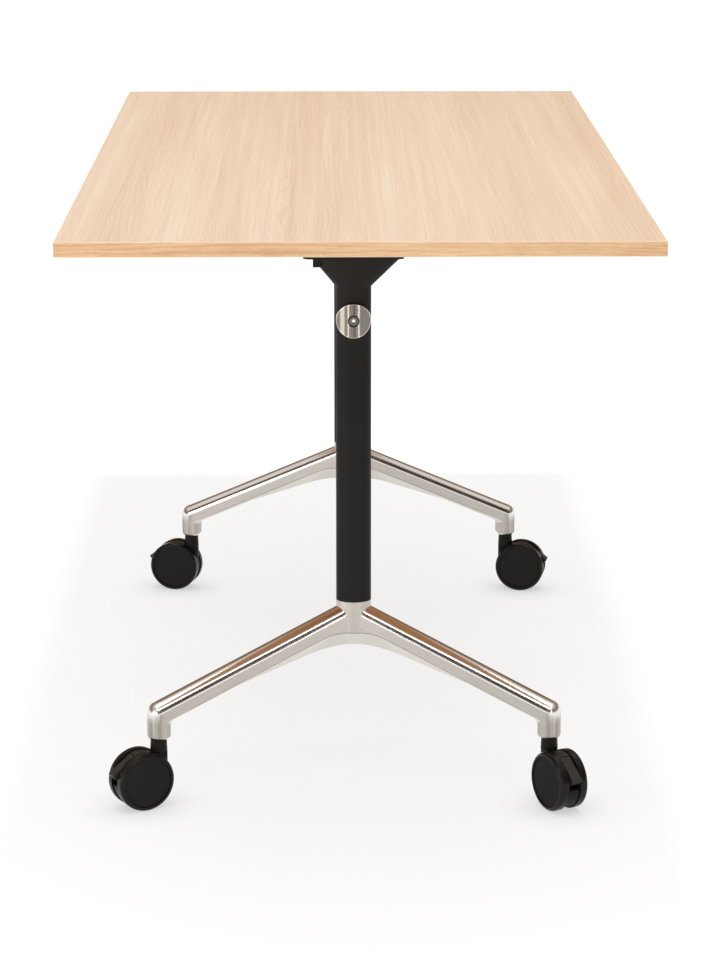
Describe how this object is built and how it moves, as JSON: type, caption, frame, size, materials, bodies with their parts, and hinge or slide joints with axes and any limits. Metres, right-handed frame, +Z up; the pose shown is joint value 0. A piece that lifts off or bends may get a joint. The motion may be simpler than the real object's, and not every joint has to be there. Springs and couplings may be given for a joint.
{
  "type": "folding desk",
  "caption": "Mobile flip-top desk: oak-faced board tilting on two oval columns with swept cast aluminium feet and braked twin-wheel casters.",
  "frame": {"origin": "on the floor under the middle of the board", "axes": "+X across the desk to the side that goes down when the board tilts, +Y along the board away from the viewer, +Z up"},
  "size_m": [0.7, 1.4, 0.755],
  "materials": {
    "oak_melamine": "matte",
    "oak_edge_band": "satin",
    "black_powder_coat": "satin",
    "polished_aluminium": "polished",
    "stainless_steel": "brushed",
    "zinc_steel": "satin",
    "black_nylon": "satin",
    "black_rubber": "matte"
  },
  "bodies": {
    "frame": {"head_near": "black_powder_coat", "column_near": "black_powder_coat", "foot_near": "polished_aluminium", "cover_disc_near": "stainless_steel", "head_far": "black_powder_coat", "column_far": "black_powder_coat", "foot_far": "polished_aluminium", "cover_disc_far": "stainless_steel", "strike_screws": "zinc_steel", "strike_plates": "zinc_steel", "head_screws": "zinc_steel", "crossbar_screws": "stainless_steel", "spacer_sleeves": "zinc_steel", "foot_bolts": "zinc_steel", "nut_plugs": "zinc_steel", "caster_stems": "zinc_steel", "crossbar": "black_powder_coat", "crossbar_saddles": "black_powder_coat", "rest_pads": "black_rubber"},
    "top": {"tabletop_board": "oak_melamine", "edge_bands": "oak_edge_band", "top_bracket_near": "black_powder_coat", "top_bracket_far": "black_powder_coat", "bracket_screws": "zinc_steel", "pivot_pins": "zinc_steel", "pivot_clips": "zinc_steel", "bolt_guides": "black_nylon"},
    "release": {"release_bar": "black_powder_coat", "release_grip": "black_rubber", "latch_bolt_near": "zinc_steel", "latch_bolt_far": "zinc_steel"},
    "caster_near_left": {"caster_hood_near_left": "black_nylon", "caster_axle_near_left": "zinc_steel"},
    "wheel_a_near_left": {"wheel_a_near_left": "black_nylon", "wheel_cap_a_near_left": "black_nylon"},
    "wheel_b_near_left": {"wheel_b_near_left": "black_nylon", "wheel_cap_b_near_left": "black_nylon"},
    "brake_lever_near_left": {"brake_lever_near_left": "black_nylon"},
    "caster_near_right": {"caster_hood_near_right": "black_nylon", "caster_axle_near_right": "zinc_steel"},
    "wheel_a_near_right": {"wheel_a_near_right": "black_nylon", "wheel_cap_a_near_right": "black_nylon"},
    "wheel_b_near_right": {"wheel_b_near_right": "black_nylon", "wheel_cap_b_near_right": "black_nylon"},
    "brake_lever_near_right": {"brake_lever_near_right": "black_nylon"},
    "caster_far_left": {"caster_hood_far_left": "black_nylon", "caster_axle_far_left": "zinc_steel"},
    "wheel_a_far_left": {"wheel_a_far_left": "black_nylon", "wheel_cap_a_far_left": "black_nylon"},
    "wheel_b_far_left": {"wheel_b_far_left": "black_nylon", "wheel_cap_b_far_left": "black_nylon"},
    "brake_lever_far_left": {"brake_lever_far_left": "black_nylon"},
    "caster_far_right": {"caster_hood_far_right": "black_nylon", "caster_axle_far_right": "zinc_steel"},
    "wheel_a_far_right": {"wheel_a_far_right": "black_nylon", "wheel_cap_a_far_right": "black_nylon"},
    "wheel_b_far_right": {"wheel_b_far_right": "black_nylon", "wheel_cap_b_far_right": "black_nylon"},
    "brake_lever_far_right": {"brake_lever_far_right": "black_nylon"}
  },
  "joints": [
    {"name": "top_flip", "type": "hinge", "parent": "frame", "child": "top", "pos_m": [0.039, 0, 0.7115], "axis": [0, 1, 0], "range_deg": [0, 90]},
    {"name": "latch_slide", "type": "slide", "parent": "top", "child": "release", "axis": [1, 0, 0], "range_m": [0, 0.014]},
    {"name": "swivel_near_left", "type": "hinge", "parent": "frame", "child": "caster_near_left", "pos_m": [-0.252, -0.486, 0.07], "axis": [0, 0, 1], "continuous": true},
    {"name": "roll_a_near_left", "type": "hinge", "parent": "caster_near_left", "child": "wheel_a_near_left", "pos_m": [-0.27387, -0.49812, 0.0375], "axis": [0.4848, -0.8746, 0], "continuous": true},
    {"name": "roll_b_near_left", "type": "hinge", "parent": "caster_near_left", "child": "wheel_b_near_left", "pos_m": [-0.27387, -0.49812, 0.0375], "axis": [0.4848, -0.8746, 0], "continuous": true},
    {"name": "brake_near_left", "type": "hinge", "parent": "caster_near_left", "child": "brake_lever_near_left", "pos_m": [-0.28567, -0.50467, 0.06075], "axis": [0.4848, -0.8746, 0], "range_deg": [0, 10]},
    {"name": "swivel_near_right", "type": "hinge", "parent": "frame", "child": "caster_near_right", "pos_m": [0.24, -0.486, 0.07], "axis": [0, 0, 1], "continuous": true},
    {"name": "roll_a_near_right", "type": "hinge", "parent": "caster_near_right", "child": "wheel_a_near_right", "pos_m": [0.25174, -0.50807, 0.0375], "axis": [0.8829, 0.4695, 0], "continuous": true},
    {"name": "roll_b_near_right", "type": "hinge", "parent": "caster_near_right", "child": "wheel_b_near_right", "pos_m": [0.25174, -0.50807, 0.0375], "axis": [0.8829, 0.4695, 0], "continuous": true},
    {"name": "brake_near_right", "type": "hinge", "parent": "caster_near_right", "child": "brake_lever_near_right", "pos_m": [0.25807, -0.51999, 0.06075], "axis": [0.8829, 0.4695, 0], "range_deg": [0, 10]},
    {"name": "swivel_far_left", "type": "hinge", "parent": "frame", "child": "caster_far_left", "pos_m": [-0.252, 0.486, 0.07], "axis": [0, 0, 1], "continuous": true},
    {"name": "roll_a_far_left", "type": "hinge", "parent": "caster_far_left", "child": "wheel_a_far_left", "pos_m": [-0.27615, 0.49247, 0.0375], "axis": [-0.2588, -0.9659, 0], "continuous": true},
    {"name": "roll_b_far_left", "type": "hinge", "parent": "caster_far_left", "child": "wheel_b_far_left", "pos_m": [-0.27615, 0.49247, 0.0375], "axis": [-0.2588, -0.9659, 0], "continuous": true},
    {"name": "brake_far_left", "type": "hinge", "parent": "caster_far_left", "child": "brake_lever_far_left", "pos_m": [-0.28919, 0.49596, 0.06075], "axis": [-0.2588, -0.9659, 0], "range_deg": [0, 10]},
    {"name": "swivel_far_right", "type": "hinge", "parent": "frame", "child": "caster_far_right", "pos_m": [0.24, 0.486, 0.07], "axis": [0, 0, 1], "continuous": true},
    {"name": "roll_a_far_right", "type": "hinge", "parent": "caster_far_right", "child": "wheel_a_far_right", "pos_m": [0.2645, 0.48102, 0.0375], "axis": [0.1994, 0.9799, 0], "continuous": true},
    {"name": "roll_b_far_right", "type": "hinge", "parent": "caster_far_right", "child": "wheel_b_far_right", "pos_m": [0.2645, 0.48102, 0.0375], "axis": [0.1994, 0.9799, 0], "continuous": true},
    {"name": "brake_far_right", "type": "hinge", "parent": "caster_far_right", "child": "brake_lever_far_right", "pos_m": [0.27773, 0.47832, 0.06075], "axis": [0.1994, 0.9799, 0], "range_deg": [0, 10]}
  ]
}
